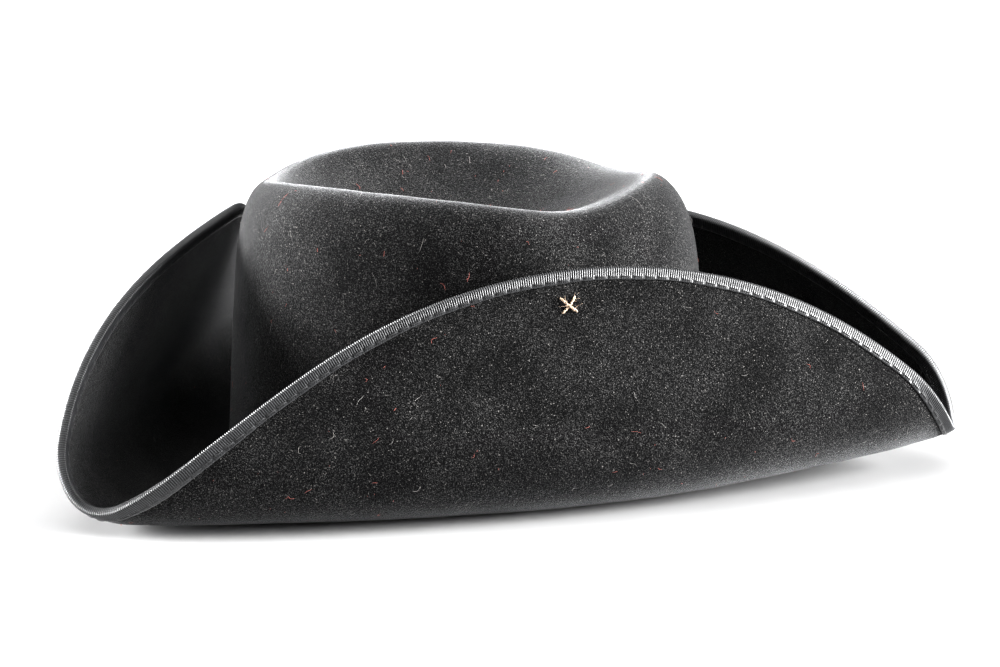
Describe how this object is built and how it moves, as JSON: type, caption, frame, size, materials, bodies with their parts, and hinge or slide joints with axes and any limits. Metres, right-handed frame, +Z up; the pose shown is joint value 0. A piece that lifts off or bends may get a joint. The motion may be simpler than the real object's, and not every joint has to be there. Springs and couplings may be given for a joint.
{
  "type": "tricorn hat",
  "caption": "Black felt pirate hat with a creased crown, a ribbon-bound brim turned up on three sides to make corners, and a cross stitch that tacks each side panel, and a leather sweatband inside.",
  "frame": {"origin": "middle of the head opening, on the surface the hat stands on", "axes": "+X to the front corner of the hat, +Y to the wearer's left, +Z up through the crown"},
  "size_m": [0.3549, 0.306, 0.126],
  "materials": {
    "felt": "short-napped fur felt, charcoal black",
    "ribbon": "ribbed grosgrain",
    "black_thread": "twisted sewing thread",
    "cream_thread": "thick twisted cotton",
    "leather": "smooth dark leather",
    "reed": "drawn plastic reed",
    "satin": "satin lining cloth"
  },
  "bodies": {
    "root": {"felt_hood": "felt", "edge_binding": "ribbon", "binding_thread": "black_thread", "tack_stitch_right": "cream_thread", "tack_stitch_left": "cream_thread", "sweatband": "leather", "sweatband_seam": "black_thread", "sweatband_reed": "reed", "reed_tape": "ribbon", "sweatband_thread": "black_thread", "sweatband_bow": "ribbon", "lining_side": "satin", "lining_tip": "satin", "lining_cord": "ribbon"}
  },
  "joints": []
}
